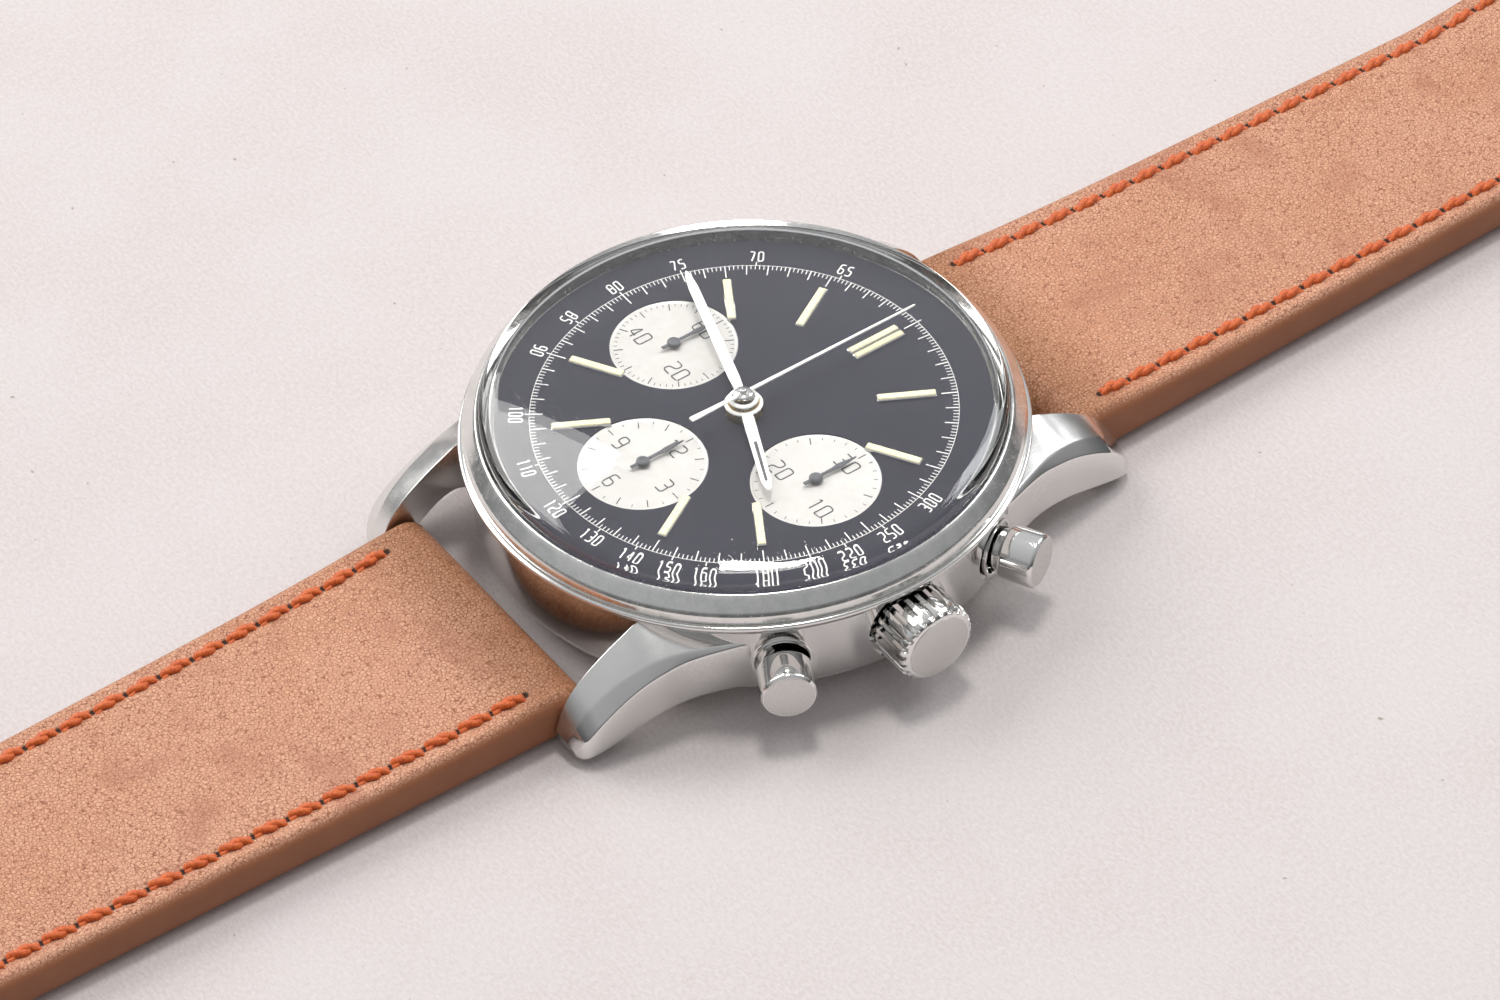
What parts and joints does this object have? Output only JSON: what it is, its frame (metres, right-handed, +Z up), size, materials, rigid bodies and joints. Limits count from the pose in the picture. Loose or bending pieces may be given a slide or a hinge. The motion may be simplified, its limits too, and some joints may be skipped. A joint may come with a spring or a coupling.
{
  "type": "chronograph wristwatch",
  "caption": "Round hand-wound wristwatch with stopwatch registers, crown and push buttons at the side, and a stitched leather strap with a pin buckle.",
  "frame": {"origin": "on the dial's axis, at the case back's outer face", "axes": "+X towards 3 o'clock and the crown, +Y towards 12 o'clock along the strap, +Z up through the dial"},
  "size_m": [0.039, 0.244, 0.0123],
  "materials": {
    "case_steel": "worn satin steel with polished bevels",
    "polished_steel": "polished steel with fine scratches",
    "crystal": "clear polished acrylic",
    "gasket": "matt",
    "inner_steel": "satin",
    "movement_gilt": "fine frosted gilt",
    "dial_black": "satin charcoal lacquer with printed scales and silvered registers",
    "marker_cream": "aged cream luminous filling",
    "hand_white": "white lacquer",
    "register_hand_grey": "dark satin",
    "strap_leather": "pebbled tan leather, painted brown edges, rust thread"
  },
  "bodies": {
    "case": {"case_middle": "case_steel", "case_back": "case_steel", "case_back_gasket": "gasket", "bezel": "polished_steel", "crystal": "crystal", "casing_ring": "inner_steel", "crown_tube": "inner_steel", "pusher_tubes": "case_steel", "dial": "dial_black", "hour_markers": "marker_cream", "main_plate": "movement_gilt", "barrel_bridge": "movement_gilt", "train_bridge": "movement_gilt", "balance_cock": "movement_gilt", "movement_screws": "inner_steel", "spring_bars": "inner_steel"},
    "winding_pinion": {"winding_pinion": "inner_steel"},
    "crown": {"crown": "polished_steel", "winding_stem": "inner_steel"},
    "sliding_pinion": {"sliding_pinion": "inner_steel"},
    "crown_wheel": {"crown_wheel": "inner_steel"},
    "ratchet": {"ratchet_wheel": "inner_steel", "barrel_arbor": "inner_steel"},
    "barrel": {"barrel_drum": "movement_gilt", "mainspring": "inner_steel"},
    "centre_wheel": {"centre_wheel": "movement_gilt"},
    "third_wheel": {"third_wheel": "movement_gilt"},
    "running_seconds": {"fourth_wheel": "movement_gilt", "running_seconds_hand": "register_hand_grey"},
    "escape_wheel": {"escape_wheel": "inner_steel"},
    "pallet_fork": {"pallet_fork": "inner_steel"},
    "balance": {"balance_wheel": "movement_gilt", "hairspring": "inner_steel"},
    "minute_hand": {"cannon_pinion": "inner_steel", "minute_hand": "hand_white"},
    "minute_wheel": {"minute_wheel": "movement_gilt"},
    "hour_hand": {"hour_wheel": "movement_gilt", "hour_hand": "hand_white"},
    "chronograph_seconds": {"chronograph_wheel": "movement_gilt", "chronograph_hand": "hand_white"},
    "minute_register": {"minute_register_wheel": "movement_gilt", "minute_register_hand": "register_hand_grey"},
    "hour_register": {"hour_register_wheel": "movement_gilt", "hour_register_hand": "register_hand_grey"},
    "start_pusher": {"start_pusher": "polished_steel", "start_pusher_spring": "inner_steel"},
    "reset_pusher": {"reset_pusher": "polished_steel", "reset_pusher_spring": "inner_steel"},
    "operating_lever": {"operating_lever": "inner_steel"},
    "reset_hammer": {"reset_hammer": "inner_steel"},
    "column_wheel": {"column_wheel": "inner_steel"},
    "strap_12_root": {"strap_12_root": "strap_leather"},
    "strap_12_end": {"strap_12_end": "strap_leather", "fixed_keeper": "strap_leather", "buckle_bar": "inner_steel"},
    "strap_6_root": {"strap_6_root": "strap_leather"},
    "strap_6_end": {"strap_6_end": "strap_leather"},
    "free_keeper": {"free_keeper": "strap_leather"},
    "buckle_frame": {"buckle_frame": "polished_steel"},
    "buckle_tongue": {"buckle_tongue": "polished_steel"}
  },
  "joints": [
    {"name": "crown_turn", "type": "hinge", "parent": "case", "child": "winding_pinion", "pos_m": [0.0122, 0, 0.0042], "axis": [1, 0, 0], "continuous": true},
    {"name": "crown_pull", "type": "slide", "parent": "winding_pinion", "child": "crown", "axis": [1, 0, 0], "range_m": [0, 0.0009]},
    {"name": "sliding_pinion_shift", "type": "slide", "parent": "winding_pinion", "child": "sliding_pinion", "axis": [1, 0, 0], "range_m": [-0.0007, 0]},
    {"name": "crown_wheel_turn", "type": "hinge", "parent": "case", "child": "crown_wheel", "pos_m": [0.0106, 0.001, 0.0025], "axis": [0, 0, 1], "continuous": true},
    {"name": "ratchet_wheel_turn", "type": "hinge", "parent": "case", "child": "ratchet", "pos_m": [0.00436, 0.00623, 0.0025], "axis": [0, 0, 1], "continuous": true},
    {"name": "running_seconds_turn", "type": "hinge", "parent": "case", "child": "running_seconds", "pos_m": [-0.00775, 0, 0.0049], "axis": [0, 0, 1], "continuous": true},
    {"name": "third_wheel_turn", "type": "hinge", "parent": "case", "child": "third_wheel", "pos_m": [-0.00446, -0.00227, 0.0043], "axis": [0, 0, 1], "continuous": true},
    {"name": "centre_wheel_turn", "type": "hinge", "parent": "case", "child": "centre_wheel", "pos_m": [0, 0, 0.0038], "axis": [0, 0, 1], "continuous": true},
    {"name": "barrel_turn", "type": "hinge", "parent": "case", "child": "barrel", "pos_m": [0.00436, 0.00623, 0.0043], "axis": [0, 0, 1], "continuous": true},
    {"name": "escape_wheel_turn", "type": "hinge", "parent": "case", "child": "escape_wheel", "pos_m": [-0.00987, -0.00253, 0.0038], "axis": [0, 0, 1], "continuous": true},
    {"name": "pallet_fork_rock", "type": "hinge", "parent": "case", "child": "pallet_fork", "pos_m": [-0.0084, -0.0052, 0.0038], "axis": [0, 0, 1], "range_deg": [-5, 5]},
    {"name": "balance_swing", "type": "hinge", "parent": "case", "child": "balance", "pos_m": [-0.0046, -0.0086, 0.0031], "axis": [0, 0, 1], "range_deg": [-150, 150]},
    {"name": "minute_hand_turn", "type": "hinge", "parent": "case", "child": "minute_hand", "pos_m": [0, 0, 0.0073], "axis": [0, 0, 1], "continuous": true},
    {"name": "minute_wheel_turn", "type": "hinge", "parent": "case", "child": "minute_wheel", "pos_m": [0.0018, 0.00312, 0.0073], "axis": [0, 0, 1], "continuous": true},
    {"name": "hour_hand_turn", "type": "hinge", "parent": "case", "child": "hour_hand", "pos_m": [0, 0, 0.0076], "axis": [0, 0, 1], "continuous": true},
    {"name": "chronograph_hand_turn", "type": "hinge", "parent": "case", "child": "chronograph_seconds", "pos_m": [0, 0, 0.0016], "axis": [0, 0, 1], "continuous": true},
    {"name": "minute_register_turn", "type": "hinge", "parent": "case", "child": "minute_register", "pos_m": [0.00775, 0, 0.0016], "axis": [0, 0, 1], "continuous": true},
    {"name": "hour_register_turn", "type": "hinge", "parent": "case", "child": "hour_register", "pos_m": [0, -0.00775, 0.0016], "axis": [0, 0, 1], "continuous": true},
    {"name": "column_wheel_turn", "type": "hinge", "parent": "case", "child": "column_wheel", "pos_m": [0.0083, -0.0046, 0.002], "axis": [0, 0, 1], "continuous": true},
    {"name": "start_push", "type": "slide", "parent": "case", "child": "start_pusher", "axis": [-0.8829, -0.4695, 0], "range_m": [0, 0.0006], "stiffness_N_per_m": 1500, "springref_m": -0.0002},
    {"name": "reset_push", "type": "slide", "parent": "case", "child": "reset_pusher", "axis": [-0.8829, 0.4695, 0], "range_m": [0, 0.0006], "stiffness_N_per_m": 1500, "springref_m": -0.0002},
    {"name": "operating_lever_rock", "type": "hinge", "parent": "case", "child": "operating_lever", "pos_m": [0.0132, 0.0029, 0.002], "axis": [0, 0, 1], "range_deg": [0, 9.6]},
    {"name": "reset_hammer_rock", "type": "hinge", "parent": "case", "child": "reset_hammer", "pos_m": [0.0095, -0.0096, 0.0021], "axis": [0, 0, 1], "range_deg": [0, 8.6]},
    {"name": "strap_12_lug_swing", "type": "hinge", "parent": "case", "child": "strap_12_root", "pos_m": [0, 0.0205, 0.00185], "axis": [1, 0, 0], "range_deg": [-75, 60]},
    {"name": "strap_12_bend", "type": "hinge", "parent": "strap_12_root", "child": "strap_12_end", "pos_m": [0, 0.06, 0.0016], "axis": [1, 0, 0], "range_deg": [-45, 15]},
    {"name": "strap_6_lug_swing", "type": "hinge", "parent": "case", "child": "strap_6_root", "pos_m": [0, -0.0205, 0.00185], "axis": [-1, 0, 0], "range_deg": [-75, 60]},
    {"name": "strap_6_bend", "type": "hinge", "parent": "strap_6_root", "child": "strap_6_end", "pos_m": [0, -0.06, 0.0016], "axis": [-1, 0, 0], "range_deg": [-45, 15]},
    {"name": "free_keeper_slide", "type": "slide", "parent": "strap_12_end", "child": "free_keeper", "axis": [0, 1, 0], "range_m": [-0.005, 0.002]},
    {"name": "buckle_swing", "type": "hinge", "parent": "strap_12_end", "child": "buckle_frame", "pos_m": [0, 0.0955, 0.00265], "axis": [1, 0, 0], "range_deg": [-60, 40]},
    {"name": "tongue_swing", "type": "hinge", "parent": "buckle_frame", "child": "buckle_tongue", "pos_m": [0, 0.0955, 0.00265], "axis": [1, 0, 0], "range_deg": [0, 70]}
  ],
  "couplings": [
    {"joint": "sliding_pinion_shift", "follows": "crown_pull", "ratio": -0.75},
    {"joint": "crown_wheel_turn", "follows": "crown_turn", "ratio": 0.66667},
    {"joint": "ratchet_wheel_turn", "follows": "crown_turn", "ratio": -0.32},
    {"joint": "third_wheel_turn", "follows": "running_seconds_turn", "ratio": -0.13333},
    {"joint": "centre_wheel_turn", "follows": "running_seconds_turn", "ratio": 0.016667},
    {"joint": "barrel_turn", "follows": "running_seconds_turn", "ratio": -0.0025316},
    {"joint": "escape_wheel_turn", "follows": "running_seconds_turn", "ratio": -10},
    {"joint": "minute_wheel_turn", "follows": "minute_hand_turn", "ratio": -0.33333},
    {"joint": "hour_hand_turn", "follows": "minute_hand_turn", "ratio": 0.083333},
    {"joint": "minute_register_turn", "follows": "chronograph_hand_turn", "ratio": 0.033333},
    {"joint": "hour_register_turn", "follows": "chronograph_hand_turn", "ratio": 0.0013889},
    {"joint": "operating_lever_rock", "follows": "start_push", "rad_per_m": 270},
    {"joint": "reset_hammer_rock", "follows": "reset_push", "rad_per_m": 245}
  ]
}
